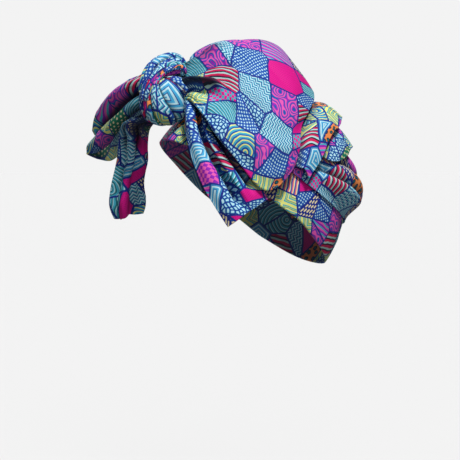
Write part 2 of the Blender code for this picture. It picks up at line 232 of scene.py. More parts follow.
class Graph:
    """Builds a node tree."""

    def __init__(self, owner: bpy.types.Material | bpy.types.World) -> None:
        """Empties the owner's tree.

        Args:
            owner: the material or world to build in.
        """
        owner.use_nodes = True
        self.tree = owner.node_tree
        self.tree.nodes.clear()

    def node(self, kind: str, inputs: Inputs | None = None, **settings: object) -> bpy.types.Node:
        """Adds a node.

        Args:
            kind: the node's type.
            inputs: values or signals for its inputs, by name or place.
            settings: its properties.

        Returns:
            The node.
        """
        made = self.tree.nodes.new(kind)
        for name, value in settings.items():
            setattr(made, name, value)
        for key, value in (inputs or {}).items():
            if isinstance(value, Signal):
                self.tree.links.new(value.socket, made.inputs[key])
            else:
                made.inputs[key].default_value = value
        return made

    def signal(self, node: bpy.types.Node, output: str | int = 0) -> Signal:
        """An output of a node as a signal."""
        return Signal(self, node.outputs[output])

    def value(
        self, kind: str, inputs: Inputs | None = None, output: str | int = 0, **settings: object
    ) -> Signal:
        """Adds a node, as node() does, and gives one of its outputs, by name or place."""
        return self.signal(self.node(kind, inputs, **settings), output)

    def math(self, operation: str, *values: Number) -> Signal:
        """The result of a Math node's operation on its inputs, in order."""
        return self.value("ShaderNodeMath", dict(enumerate(values)), operation=operation)

    def hypot(self, a: Signal, b: Signal) -> Signal:
        """The distance of a place from the origin."""
        return self.math("SQRT", a * a + b * b)

    def vector(self, x: Number, y: Number, z: Number = 0.0) -> Signal:
        """Three values as a vector."""
        return self.value("ShaderNodeCombineXYZ", {0: x, 1: y, 2: z})

    def parts(self, vector: Signal) -> tuple[Signal, Signal, Signal]:
        """A vector's three values."""
        split = self.node("ShaderNodeSeparateXYZ", {0: vector})
        return self.signal(split, 0), self.signal(split, 1), self.signal(split, 2)

    def mix(self, share: Number, a: object, b: object) -> Signal:
        """A blend of two colours.

        Args:
            share: how much of the second there is.
            a: the first colour, or a signal.
            b: the second.

        Returns:
            The blended colour.
        """
        made = self.node("ShaderNodeMix", {0: share}, data_type="RGBA")
        for index, value in ((6, a), (7, b)):
            if isinstance(value, Signal):
                self.tree.links.new(value.socket, made.inputs[index])
            else:
                made.inputs[index].default_value = (*value, 1.0)
        return self.signal(made, 2)

    def bands(self, place: Signal, first: Colour, *others: tuple[float, Colour]) -> Signal:
        """Flat bands of colour.

        Args:
            place: where, from 0 to 1.
            first: the first band's colour.
            others: each further band's start and colour.

        Returns:
            The colour there.
        """
        ramp = self.node("ShaderNodeValToRGB", {0: place})
        ramp.color_ramp.interpolation = "CONSTANT"
        steps = ramp.color_ramp.elements
        for _ in others[1:]:
            steps.new(1.0)
        for step, (start, colour) in zip(steps, ((0.0, first), *others)):
            step.position = start
            step.color = (*colour, 1.0)
        return self.signal(ramp)

    def seen_or_lit(self, seen: Signal, lit: Signal) -> Signal:
        """One shader for what the camera sees, and another for the light that reaches the wrap."""
        path = self.value("ShaderNodeLightPath", output="Is Camera Ray")
        return self.value("ShaderNodeMixShader", {0: path, 1: lit, 2: seen})

    def stripes(self, place: Signal, width: float, first: Colour, *others: tuple[float, Colour]) -> Signal:
        """Bands of colour that repeat every width."""
        return self.bands((place / width).fract(), first, *others)

    def dots(self, x: Signal, y: Signal, wide: float, tall: float, step: float = 0.0) -> Signal:
        """Distance from the nearest of many dots in columns.

        Args:
            x: place across the columns.
            y: place along them.
            wide: distance between columns.
            tall: distance between the dots of a column.
            step: how much further along each column starts, in shares of tall.

        Returns:
            The distance, in shares of the spacing.
        """
        shifted = y / tall + (x / wide).floor() * step
        return self.hypot((x / wide).fract() - 0.5, shifted.fract() - 0.5)

    def noise(self, x: Signal, y: Signal, detail: float = 0.0, output: str | int = 0) -> Signal:
        """Cloudy noise over a plane, as a value or, from its output Color, as three."""
        inputs = {"Vector": self.vector(x, y), "Scale": 1.0, "Detail": detail}
        return self.value("ShaderNodeTexNoise", inputs, output)

    def cells(self, x: Signal, y: Signal, jitter: float = 1.0, feature: str = "F1") -> bpy.types.Node:
        """Cells of about unit size over a plane.

        Args:
            x: place across.
            y: place along.
            jitter: how irregular the cells are, from 0 for squares to 1.
            feature: what the Distance output measures.

        Returns:
            The node.
        """
        inputs = {"Vector": self.vector(x, y), "Scale": 1.0, "Randomness": jitter}
        return self.node("ShaderNodeTexVoronoi", inputs, voronoi_dimensions="2D", feature=feature)


# The print


@dataclass(frozen=True)
class Dyes:
    """The colours of the print. Ink also serves as the near-black that the painted shade in folds, tucks and
    covered places darkens the print towards.
    """

    navy: Colour = (0.006, 0.021, 0.23)
    # a print colour, and also the near-black of the painted shade
    ink_and_painted_shade: Colour = (0.003, 0.007, 0.03)
    blue: Colour = (0.006, 0.075, 0.36)
    sky: Colour = (0.05, 0.36, 0.62)
    cyan: Colour = (0.05, 0.37, 0.50)
    ice: Colour = (0.46, 0.72, 0.80)
    teal: Colour = (0.006, 0.13, 0.17)
    green: Colour = (0.008, 0.17, 0.09)
    lime: Colour = (0.46, 0.64, 0.10)
    lemon: Colour = (0.78, 0.78, 0.22)
    cream: Colour = (0.78, 0.68, 0.40)
    orange: Colour = (0.80, 0.25, 0.07)
    coral: Colour = (0.76, 0.13, 0.15)
    crimson: Colour = (0.52, 0.006, 0.08)
    magenta: Colour = (0.66, 0.001, 0.24)
    wine: Colour = (0.44, 0.001, 0.15)
    pink: Colour = (0.70, 0.09, 0.40)
    violet: Colour = (0.26, 0.010, 0.40)
    slate: Colour = (0.38, 0.58, 0.58)
    reverse: Colour = (0.12, 0.16, 0.22)


@dataclass(frozen=True)
class PatchworkCotton:
    """Cotton printed with a patchwork of small patterns between blue outlines.

    Attributes:
        name: the material's name.
        patch: the usual width of a patch, in mm.
        turn: how far the layout is turned on the cloth, in degrees.
        shift: where the cloth was cut from the bolt, in patches.
        stretch: how much wider than long the patches are.
        jitter: how irregular the patches are, from 0 for squares to 1.
        outline: width of the blue outlines, in mm.
        waver: how far the drawn lines stray, in mm.
        fade: how much paler the print is, as on the cloth's reverse.
        threads: turn of the weave's wave, in radians for each mm.
        cut_share: the share of the patches that are cut in two.
    """

    name: str
    patch: float = 27.0
    turn: float = 0.0
    shift: Pair = (0.0, 0.0)
    stretch: float = 1.0
    jitter: float = 0.52
    outline: float = 1.7
    waver: float = 3.0
    fade: float = 0.0
    threads: float = 6.5
    cut_share: float = 0.62
    dyes: Dyes = field(default_factory=Dyes)

    def build(self) -> bpy.types.Material:
        """Makes the material.

        Returns:
            The material.
        """
        material = bpy.data.materials.new(self.name)
        graph = Graph(material)
        u, v, _ = graph.parts(graph.value("ShaderNodeUVMap", uv_map="cloth"))
        place = u / MM, v / MM
        colour = self._print(graph, place)
        if self.fade:
            colour = graph.mix(self.fade, colour, self.dyes.reverse)
        # Painted shade: the hollow attribute darkens the print towards ink in folds, tucks, grooves and places
        # that neighbours cover
        hollow = graph.value("ShaderNodeAttribute", output="Fac", attribute_name="hollow")
        colour = graph.mix(hollow, colour, self.dyes.ink_and_painted_shade)
        normal = self._weave(graph, place)
        shader = graph.value(
            "ShaderNodeBsdfPrincipled",
            {"Base Color": colour, "Roughness": 0.78, "Specular IOR Level": 0.3, "Normal": normal},
        )
        graph.node("ShaderNodeOutputMaterial", {"Surface": shader})
        return material

    def _weave(self, graph: Graph, place: tuple[Signal, Signal]) -> Signal:
        """The normal of a plain weave with slubs.

        Args:
            graph: the graph.
            place: the place on the cloth, in mm.

        Returns:
            The bumped normal.
        """
        u, v = place
        threads = (u * self.threads).sine() * (v * self.threads).sine()
        height = threads * 0.3 + graph.noise(u * 0.25, v * 1.1, detail=3.0)
        return graph.value("ShaderNodeBump", {"Height": height, "Strength": 0.22, "Distance": 0.25 * MM})

    def _print(self, graph: Graph, place: tuple[Signal, Signal]) -> Signal:
        """The printed colour.

        Args:
            graph: the graph.
            place: the place on the cloth, in mm.

        Returns:
            The colour.
        """
        u, v = place
        a = math.radians(self.turn)
        x = (u * math.cos(a) - v * math.sin(a)) / self.patch + self.shift[0]
        y = (u * math.sin(a) + v * math.cos(a)) / (self.patch * self.stretch) + self.shift[1]
        cells = graph.cells(x, y, self.jitter)
        rims = graph.cells(x, y, self.jitter, "DISTANCE_TO_EDGE")
        seed_x, seed_y, _ = graph.parts(graph.signal(cells, "Position"))
        local_x, local_y = (x - seed_x) * self.patch, (y - seed_y) * self.patch
        pick_a, pick_b, pick_c = graph.parts(graph.signal(cells, "Color"))
        edge = graph.signal(rims, "Distance") * self.patch
        cut_angle = pick_a * math.tau
        cut = local_x * cut_angle.cosine() + local_y * cut_angle.sine()
        is_cut = pick_b < self.cut_share
        side = (cut > 0.0) * is_cut
        edge = graph.math("MINIMUM", edge, cut.size() + (is_cut * -1.0 + 1.0) * FAR)
        picks = {"Vector": graph.vector(pick_a, pick_c, side)}
        noise = graph.value("ShaderNodeTexWhiteNoise", picks, "Color", noise_dimensions="3D")
        motif, swing, tone = graph.parts(noise)
        angle = swing * math.tau
        waver_x, waver_y, _ = graph.parts(graph.noise(u / 11.0, v / 11.0, detail=1.0, output="Color"))
        local_x, local_y = local_x + waver_x * self.waver, local_y + waver_y * self.waver
        across = local_x * angle.cosine() - local_y * angle.sine()
        along = local_x * angle.sine() + local_y * angle.cosine()
        colour = self._motifs(graph, across, along, edge, motif, tone)
        return graph.mix(edge < self.outline / 2, colour, self.dyes.navy)

    def _motifs(
        self, graph: Graph, across: Signal, along: Signal, edge: Signal, motif: Signal, tone: Signal
    ) -> Signal:
        """The pattern that a patch is filled with.

        Args:
            graph: the graph.
            across: place across the patch, in mm.
            along: place along it, in mm.
            edge: distance from the patch's edge, in mm.
            motif: which pattern it has, from 0 to 1.
            tone: which of its colours it has, from 0 to 1.

        Returns:
            The colour.
        """
        d = self.dyes  # widths below are in mm, and starts of colours in shares of a width
        dark = tone < 0.5
        rings = graph.hypot(across + 7.0, along + 5.0)
        cross = (across.size() - along.size()).size()
        zigzag = along + (across + 40.0).fold(6.0)
        dots = graph.dots(across, along, 3.0, 3.0)
        spots = graph.dots(across, along, 5.2, 4.2, 0.5)
        specks = graph.dots(across, along, 1.5, 1.9, 0.37)
        squares = (across / 3.0).floor() + (along / 3.0).floor()
        column = across / 2.6
        dashes = ((along / 7.0 + column.floor() * 0.37).fract() < 0.62) * (column.fract() < 0.55)
        swirl = graph.noise(across / 14.0, along / 14.0) * 9.0
        pebbles = graph.signal(graph.cells(across / 3.6, along / 3.6, feature="DISTANCE_TO_EDGE"), "Distance")
        leopard = graph.signal(graph.cells(across / 6.0, along / 6.0, 0.6), "Distance")
        rings_a = graph.stripes(rings, 3.2, d.cyan, (0.4, d.ice), (0.62, d.teal))
        rings_b = graph.stripes(rings, 4.0, d.cyan, (0.4, d.lemon), (0.66, d.blue))
        pins_a = graph.stripes(across, 2.6, d.cyan, (0.45, d.ice), (0.62, d.teal))
        pins_b = graph.stripes(across, 4.4, d.coral, (0.3, d.cream), (0.6, d.blue))
        pale, deep = graph.mix(dark, d.pink, d.cyan), graph.mix(dark, d.violet, d.magenta)
        checks = graph.mix((squares / 2.0).fract() > 0.25, pale, deep)
        fills = (
            (0.08, graph.stripes(across, 5.6, d.crimson, (0.42, d.slate), (0.74, d.ink_and_painted_shade))),
            (0.07, graph.stripes(across, 5.0, d.violet, (0.36, d.pink), (0.7, d.cyan))),
            (0.09, graph.bands(dots, d.ice, (0.27, d.blue))),
            (0.06, graph.bands(spots, d.cream, (0.24, d.green))),
            (0.06, graph.mix(dark, rings_a, rings_b)),
            (0.08, graph.stripes(cross, 6.0, d.lemon, (0.34, d.cyan), (0.62, d.lime), (0.86, d.blue))),
            (0.07, graph.bands(specks, d.wine, (0.24, d.magenta))),
            (0.07, graph.stripes(zigzag, 3.4, d.ice, (0.4, d.cyan), (0.72, d.navy))),
            (0.06, graph.bands(leopard, d.teal, (0.2, d.ink_and_painted_shade), (0.36, d.orange))),
            (0.06, graph.mix(dashes, d.navy, d.cream)),
            (0.08, checks),
            (0.06, graph.bands(pebbles, d.navy, (0.13, d.sky), (0.22, d.ice))),
            (0.05, graph.stripes(swirl, 1.0, d.pink, (0.45, d.violet), (0.7, d.blue))),
            (0.05, graph.stripes(edge, 3.0, d.sky, (0.45, d.navy), (0.6, d.ice))),
            (0.06, graph.mix(dark, pins_a, pins_b)),
        )
        reached, colour = fills[0]
        for share, fill in fills[1:]:
            colour = graph.mix(motif > reached, colour, fill)
            reached += share
        return colour


# Shapes


@dataclass(frozen=True)
class CoreForm:
    """The rounded core that the wrap is shaped round, which is its hollow.

    Attributes:
        half: half its width, length and height, in mm.
        wrap_tilt: how far the wrap's axis leans back, in degrees.
    """

    half: tuple[float, float, float] = (75.0, 94.0, 95.0)
    wrap_tilt: float = 35.0

    def radius(self, rays: np.ndarray) -> np.ndarray:
        """How far the core's surface is from its middle along unit vectors, in mm."""
        return 1.0 / np.sqrt(((rays / np.array(self.half)) ** 2).sum(-1))

    def point(self, place: Spot | Point) -> np.ndarray:
        """The x, y and z of a place, in mm.

        Args:
            place: a Spot or a Point.

        Returns:
            The three values.
        """
        if not isinstance(place, Spot):
            return np.array(place, float)
        turn, rise = math.radians(place.turn), math.radians(place.rise)
        ray = np.array([math.cos(rise) * math.sin(turn), -math.cos(rise) * math.cos(turn), math.sin(rise)])
        return ray * (self.radius(ray) + place.lift)

    def wrap_rays(self, polar: np.ndarray, around: np.ndarray) -> np.ndarray:
        """Unit vectors at degrees from the wrap's axis, and degrees round it from the front.

        Args:
            polar: degrees from the axis.
            around: degrees round it.

        Returns:
            The vectors, with x, y and z in the last axis.
        """
        p, a, t = np.radians(polar), np.radians(around), math.radians(self.wrap_tilt)
        x, y, z = np.sin(p) * np.sin(a), -np.sin(p) * np.cos(a), np.cos(p)
        return np.stack([x, y * math.cos(t) + z * math.sin(t), z * math.cos(t) - y * math.sin(t)], -1)


@dataclass(frozen=True)
class KnotForm:
    """The lump of the knot.

    Attributes:
        centre: its middle, in mm.
        half: half its sizes, in mm.
        clearance: how far outside it a point still counts as in it, in mm.
    """

    centre: tuple[float, float, float] = (2.0, -80.0, 90.5)
    half: tuple[float, float, float] = (20.0, 23.0, 24.5)
    clearance: float = -2.0

    def inside(self, points: np.ndarray) -> np.ndarray:
        """Whether points are in the knot or against it."""
        reach = np.array(self.half) + self.clearance
        return (((points - np.array(self.centre)) / reach) ** 2).sum(-1) < 1.0


CORE = CoreForm()
KNOT = KnotForm()
FOLD_FADE = 0.4  # share of a fold's length over which it fades beyond its ends
KNOT_SEARCH = 0.45  # share of a cloth's length within which it leaves the knot
PLEAT_MEAN = 0.64  # mean height of a round pleat
DARKEST = 0.93  # how dark the painted shade in a deep fold gets
TUCK_DARK = 0.9  # how dark the painted shade in a tuck of the knot or a groove of a roll gets
CALM_REACH = 0.2  # share of a cloth's width over which its creases calm down
SMOOTHINGS = 2  # how often a cloth's normals are evened out
SQUEEZE_REACH = 0.2  # share of its length over which it spreads out from the knot


def grey(tone: float) -> tuple[float, float, float, float]:
    """A grey as a socket holds it."""
    return (tone, tone, tone, 1.0)


def direction(azimuth: float, height: float) -> Vector:
    """The unit vector at degrees round the wrap from its front, and degrees up."""
    a, e = math.radians(azimuth), math.radians(height)
    return Vector((math.sin(a) * math.cos(e), -math.cos(a) * math.cos(e), math.sin(e)))


def grid(cells: tuple[int, int], along: float = 1.0, across: float = 1.0) -> list[np.ndarray]:
    """Places along and across a grid of faces, from 0 to the two given ends."""
    return np.meshgrid(np.linspace(0, along, cells[0] + 1), np.linspace(0, across, cells[1] + 1), indexing="ij")


def unit(vectors: np.ndarray) -> np.ndarray:
    """Vectors in the last axis, brought to length 1."""
    return vectors / np.maximum(np.linalg.norm(vectors, axis=-1, keepdims=True), 1e-9)


def put_in(name: str, data: bpy.types.ID, towards: Vector | None = None, axis: str = "Z") -> bpy.types.Object:
    """Puts new data into the scene.

    Args:
        name: the object's name.
        data: its mesh, lamp or camera.
        towards: where it is turned to, if it is.
        axis: which of its axes points there.

    Returns:
        The object.
    """
    made = bpy.data.objects.new(name, data)
    bpy.context.scene.collection.objects.link(made)
    if towards is not None:
        made.rotation_mode = "QUATERNION"
        made.rotation_quaternion = towards.to_track_quat(axis, "Y")
    return made


def smooth(value: np.ndarray | float) -> np.ndarray:
    """0 to 1 with flat ends, for values from 0 to 1."""
    v = np.clip(value, 0.0, 1.0)
    return v * v * (3.0 - 2.0 * v)


def spline_weights(at: np.ndarray, count: int) -> np.ndarray:
    """Weights of a smooth curve's points.

    Args:
        at: places along the curve, from 0 to 1.
        count: how many points it goes through.

    Returns:
        The weights, with the points in the last axis.
    """
    scaled = np.clip(at, 0.0, 1.0) * (count - 1)
    index = np.minimum(scaled.astype(int), count - 2)
    f = scaled - index
    weights = np.zeros((*at.shape, count + 2))
    terms = (
        -f + 2 * f**2 - f**3,
        2 - 5 * f**2 + 3 * f**3,
        f + 4 * f**2 - 3 * f**3,
        -(f**2) + f**3,
    )
    for step, term in enumerate(terms):
        np.put_along_axis(weights, (index + step)[..., None], 0.5 * term[..., None], -1)
    weights[..., 1] += 2 * weights[..., 0]
    weights[..., 2] -= weights[..., 0]
    weights[..., -2] += 2 * weights[..., -1]
    weights[..., -3] -= weights[..., -1]
    return weights[..., 1:-1]


def fold_heights(folds: Sequence[Fold], along: np.ndarray, across: np.ndarray) -> np.ndarray:
    """How far the folds lift a cloth.

    Args:
        folds: the folds.
        along: places along the cloth, from 0 to 1.
        across: places across it.

    Returns:
        The heights, in mm.
    """
    total = np.zeros_like(along)
    for fold in folds:
        part = (along - fold.along_from) / (fold.along_to - fold.along_from)
        window = smooth(1 + part / FOLD_FADE) * smooth(1 + (1 - part) / FOLD_FADE)
        part = np.clip(part, 0, 1)
        middle = fold.across_from + (fold.across_to - fold.across_from) * part
        bell = np.exp(-(np.abs((across - middle) / fold.width) ** fold.squareness))
        total += bell * window * (fold.height_from + (fold.height_to - fold.height_from) * part)
    return total


def gather_heights(gather: Gather, along: np.ndarray, across: np.ndarray) -> np.ndarray:
    """Round pleats with sharp valleys, closest at the gathered edge.

    Args:
        gather: the pleats.
        along: places along the cloth, from 0 to 1.
        across: places across it.

    Returns:
        The heights, in mm.
    """
    rng = np.random.default_rng(gather.seed)
    bend = np.zeros_like(along)
    for k in range(1, 5):
        size, start, lean = rng.uniform(0.2, 0.5), rng.uniform(0, math.tau), rng.uniform(-2, 2)
        bend += size * np.sin(k * math.pi * across + start + along * lean)
    phase = gather.pleats * across + bend
    pleat = np.abs(np.cos(math.pi * phase)) - PLEAT_MEAN
    minor = np.abs(np.cos(math.pi * (phase * 2.3 + bend))) - PLEAT_MEAN
    vary = 0.75 + 0.5 * np.sin(3.1 * phase + rng.uniform(0, math.tau))
    from_end = np.minimum(along, 1 - along) if gather.both_ends else along
    return gather.depth * np.exp(-from_end / gather.reach) * (pleat * vary + 0.35 * minor)


def crease_heights(creases: Creases, u: np.ndarray, v: np.ndarray) -> np.ndarray:
    """Broad waves and creases of worn cotton.

    Args:
        creases: their sizes.
        u: places along the flat cloth, in mm.
        v: places across it.

    Returns:
        The heights, in mm.
    """
    rng = np.random.default_rng(creases.seed)

    def waves(length: float, spread: float, count: int) -> np.ndarray:
        """Uneven waves that run in several directions at once.

        Args:
            length: about how long they are, in mm.
            spread: how far their headings may differ from that of the creases, in degrees.
            count: how many are added up.

        Returns:
            Their sum, from about -1 to 1.
        """
        total = np.zeros_like(u)
        for _ in range(count):
            heading = math.radians(creases.heading + 90 + rng.uniform(-spread, spread))
            reach = length * rng.uniform(0.7, 1.5)
            phase = (u * math.cos(heading) + v * math.sin(heading)) * math.tau / reach
            total += np.sin(phase + rng.uniform(0, math.tau) + 0.8 * np.sin(phase * 0.37 + u / reach))
        return total / math.sqrt(count)

    broad = waves(creases.wave_length, 50, 5)
    sharp = 1 - 2 * np.sqrt(np.abs(waves(creases.crease_length * 2, 35, 4)) + 0.02)
    patchy = smooth(0.5 + 0.5 * waves(creases.wave_length * 1.6, 90, 3))
    return creases.wave * 0.5 * broad + creases.crease * sharp * patchy


def hollows(heights: np.ndarray, shallow: float, deep: float) -> np.ndarray:
    """How much painted shade places get for lying in a hollow that light scarcely reaches.

    Args:
        heights: how far the folds lift the cloth there, in mm.
        shallow: the depth at which it starts to be dark.
        deep: the depth at which it is darkest.

    Returns:
        0 where it is as light as the rest, up to DARKEST.
    """
    return DARKEST * smooth((-heights - shallow) / (deep - shallow))


def arc_lengths(points: np.ndarray, axis: int) -> np.ndarray:
    """Distance along a grid's lines, from their first point.

    Args:
        points: the grid.
        axis: which way the lines run.

    Returns:
        The distance at each point.
    """
    steps = np.linalg.norm(np.diff(points, axis=axis), axis=-1)
    start = np.zeros_like(np.take(steps, [0], axis=axis))
    return np.concatenate([start, np.cumsum(steps, axis=axis)], axis=axis)


def grid_mesh(name: str, drape: Drape, merge: bool = False) -> bpy.types.Mesh:
    """A mesh of quads over a grid of points.

    Args:
        name: the mesh's name.
        drape: the grid.
        merge: whether to join edges that meet.

    Returns:
        The mesh, whose faces look away from its middle.
    """
    points = drape.points
    rows, columns = points.shape[0] - 1, points.shape[1] - 1
    bm = bmesh.new()
    bmesh.ops.create_grid(bm, x_segments=rows, y_segments=columns, size=0.5)
    # the hollow layer carries each point's painted shade to the material
    layer, depth = bm.loops.layers.uv.new("cloth"), bm.verts.layers.float.new("hollow")
    places = {vert: (round((vert.co.x + 0.5) * rows), round((vert.co.y + 0.5) * columns)) for vert in bm.verts}
    for face in bm.faces:
        for loop in face.loops:
            loop[layer].uv = drape.uv[places[loop.vert]] * MM
    for vert, place in places.items():
        vert.co = Vector(points[place]) * MM
        vert[depth] = drape.hollow[place]
    middle = Vector(points.reshape(-1, 3).mean(0)) * MM
    if merge:
        bmesh.ops.remove_doubles(bm, verts=bm.verts, dist=0.02 * MM)
    bm.normal_update()
    if sum(face.normal.dot(face.calc_center_median() - middle) * face.calc_area() for face in bm.faces) < 0:
        bmesh.ops.reverse_faces(bm, faces=bm.faces)
    mesh = bpy.data.meshes.new(name)
    bm.to_mesh(mesh)
    bm.free()
    mesh.shade_smooth()
    return mesh


# Sub-assemblies


@dataclass
class Piece:
    """A part of the wrap that stands for a CAD node.

    Attributes:
        closed: whether edges that meet are joined.
        node: the CAD node.
        cotton: its print.
    """

    closed = True

    node: str
    cotton: PatchworkCotton

    def build(self) -> bpy.types.Object:
        """Builds and dresses the piece, ties it to the root and hides its CAD node.

        Returns:
            The piece.
        """
        node = self.node
        name = node + "_cloth"
        mesh = grid_mesh(name, self.shape(), merge=self.closed)
        for finish in self.finishes():
            mesh.materials.append(finish.build())
        piece = put_in(name, mesh)
        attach(piece, "root")
        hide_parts(node)
        self.declare(piece)
        return piece

    def finishes(self) -> list[PatchworkCotton]:
        """The cloth's two sides, or its outer one alone."""
        return [self.cotton]

    def shape(self) -> Drape:
        """The piece's surface."""
        raise NotImplementedError

    def declare(self, piece: bpy.types.Object) -> None:
        """Adds what the piece needs once its mesh is made, such as a wall."""
        raise NotImplementedError


@dataclass
class Cloth(Piece):
    """A sheet of the wrap.

    Attributes:
        flat: the size that this part of the cloth has when flat, in metres; not used.
        held: how it is held; not used.
        rests_on: what it lies on; not used.
        cells: how many faces it has along and across.
        thickness: its wall, in mm.
        folds: its main folds.
        gather: its fine pleats.
        creases: its waves and creases.
    """

    closed = False

    flat: Pair
    held: Held = Held.GATHERED
    rests_on: tuple[str, ...] = ("knot",)
    cells: tuple[int, int] = (120, 90)
    thickness: float = 1.3
    folds: Folds = ()
    gather: Gather | None = None
    creases: Creases = field(default_factory=Creases)

    def finishes(self) -> list[PatchworkCotton]:
        """The print and its paler reverse."""
        return [self.cotton, replace(self.cotton, name=self.cotton.name + "_reverse", fade=0.3)]

    def declare(self, piece: bpy.types.Object) -> None:
        """Gives the sheet its wall.

        Args:
            piece: the sheet.
        """
        wall = piece.modifiers.new("wall", "SOLIDIFY")
        wall.thickness = self.thickness * MM
        wall.offset = 0.0
        wall.material_offset = 1


@dataclass
class SectionCloth(Cloth):
    """A sheet drawn through a table of sections.

    Attributes:
        sections: rows of places, each a section across the cloth.
        knot_ends: how many of its ends come out of the knot.
        still: how much of its creases stays at its first and last places across.
        squeeze: how much more cloth is gathered across it at the knot.
        shades: where its neighbours keep the light off it, as folds that leave its shape alone.
    """

    sections: Rows = ()
    knot_ends: int = 0
    still: Pair = (1.0, 1.0)
    squeeze: float = 0.0
    shades: Folds = ()

    def shape(self) -> Drape:
        """Drapes the cloth.

        Returns:
            The draped cloth.
        """
        control = np.array([[CORE.point(place) for place in row] for row in self.sections])
        along, across = grid(self.cells)
        along = self._off_knot(control, along, across)
        points = self._surface(control, along, across)
        u = arc_lengths(points, 0)
        u = u.mean(1, keepdims=True) * 0.5 + u * 0.5
        v = arc_lengths(points, 1)
        v = v - v[:, [v.shape[1] // 2]]
        v = v * (1 + self.squeeze * np.exp(-along / SQUEEZE_REACH))
        calm = self.still[0] + (1 - self.still[0]) * smooth(across / CALM_REACH)
        calm = calm * (self.still[1] + (1 - self.still[1]) * smooth((1 - across) / CALM_REACH))
        folded = fold_heights(self.folds, along, across)
        fine = calm * crease_heights(self.creases, u, v)
        if self.gather:
            fine += calm * gather_heights(self.gather, along, across)
        # Painted shade: darkest in deep folds and where neighbours cover the cloth, given by shades, and in the
        # valleys of fine creases and pleats
        covered = folded + fold_heights(self.shades, along, across)
        hollow = 1 - (1 - hollows(covered, shallow=2.5, deep=10.0)) * (1 - hollows(fine, shallow=0.2, deep=4.5))
        normals = unit(np.cross(np.gradient(points, axis=0), np.gradient(points, axis=1)))
        for _ in range(SMOOTHINGS):
            beside = normals[2:, 1:-1] + normals[:-2, 1:-1] + normals[1:-1, 2:] + normals[1:-1, :-2]
            normals[1:-1, 1:-1] += beside
            normals = unit(normals)
        return Drape(points + normals * (folded + fine)[..., None], np.stack([u, v], -1), hollow)

    def _surface(self, control: np.ndarray, along: np.ndarray, across: np.ndarray) -> np.ndarray:
        """The smooth sheet through the sections.

        Args:
            control: the sections' places.
            along: places along, from 0 to 1.
            across: places across.

        Returns:
            The points, in mm.
        """
        rows = spline_weights(along, control.shape[0])
        columns = spline_weights(across, control.shape[1])
        return np.einsum("...r,...c,rcx->...x", rows, columns, control)

    def _off_knot(self, control: np.ndarray, along: np.ndarray, across: np.ndarray) -> np.ndarray:
        """Moves the ends of the sheet to where it comes out of the knot.

        Args:
            control: the sections' places.
            along: places along, from 0 to 1.
            across: places across.

        Returns:
            The places along, drawn in from the ends.
        """
        first, last = np.zeros(along.shape[1]), np.ones(along.shape[1])
        steps = np.linspace(0, KNOT_SEARCH, 181)
        for column in range(along.shape[1]):
            there = np.full_like(steps, across[0, column])
            if self.knot_ends:
                within = KNOT.inside(self._surface(control, steps, there))
                first[column] = steps[np.flatnonzero(within)[-1]] if within.any() else 0.0
            if self.knot_ends == 2:
                within = KNOT.inside(self._surface(control, 1 - steps, there))
                last[column] = 1 - steps[np.flatnonzero(within)[-1]] if within.any() else 1.0
        return first + (last - first) * along


@dataclass
class HeadBand(Cloth):
    """The taut band round the rim.

    Attributes:
        top: where its hidden upper edge is, in degrees from the wrap's axis.
        lift: how far it stands off the core, in mm.
        rear_lift: how much further low at the back.
        seam: the share of the way round over which its creases fade at the seam.
        scale: mm of cloth for each radian round the axis, and for each one down from it.
        rim: its lower edge.
    """

    closed = True

    top: float = 58.0
    lift: float = 1.3
    rear_lift: float = 1.5
    seam: float = 0.03
    scale: Pair = (86.0, 90.0)
    rim: tuple[Rim, ...] = (
        Rim(0, 91),
        Rim(45, 90),
        Rim(90, 93),
        Rim(112, 92.5),
        Rim(135, 94.5),
        Rim(158, 95),
        Rim(180, 94.5),
    )

    def rim_polar(self, around: np.ndarray) -> np.ndarray:
        """Where the lower edge is.

        Args:
            around: degrees round the axis from the front.

        Returns:
            Its degrees from the axis.
        """
        turn = np.abs((around + 180) % 360 - 180)
        result = np.full_like(turn, self.rim[-1].polar)
        for low, high in reversed(list(zip(self.rim, self.rim[1:]))):
            share = smooth((turn - low.around) / (high.around - low.around))
            result = np.where(turn <= high.around, low.polar + (high.polar - low.polar) * share, result)
        return result

    def shape(self) -> Drape:
        """Drapes the cloth.

        Returns:
            The draped cloth.
        """
        along, across = grid(self.cells)
        around = 360 * along
        polar = self.top + (self.rim_polar(around) - self.top) * across
        rays = CORE.wrap_rays(polar, around)
        rear = smooth((90 - np.degrees(np.arccos(np.clip(rays[..., 1], -1, 1)))) / 60) * across
        u, v = np.radians(around) * self.scale[0], np.radians(polar) * self.scale[1]
        seam = smooth(np.minimum(along, 1 - along) / self.seam)
        lift = self.lift + self.rear_lift * rear
        creased = seam * smooth(across / 0.3) * (0.25 + crease_heights(self.creases, u, v) * 0.8)
        points = rays * (CORE.radius(rays) + lift + creased)[..., None]
        # the last value is painted shade in the valleys of the creases
        return Drape(points, np.stack([u, v], -1), hollows(creased, shallow=0.1, deep=2.5))


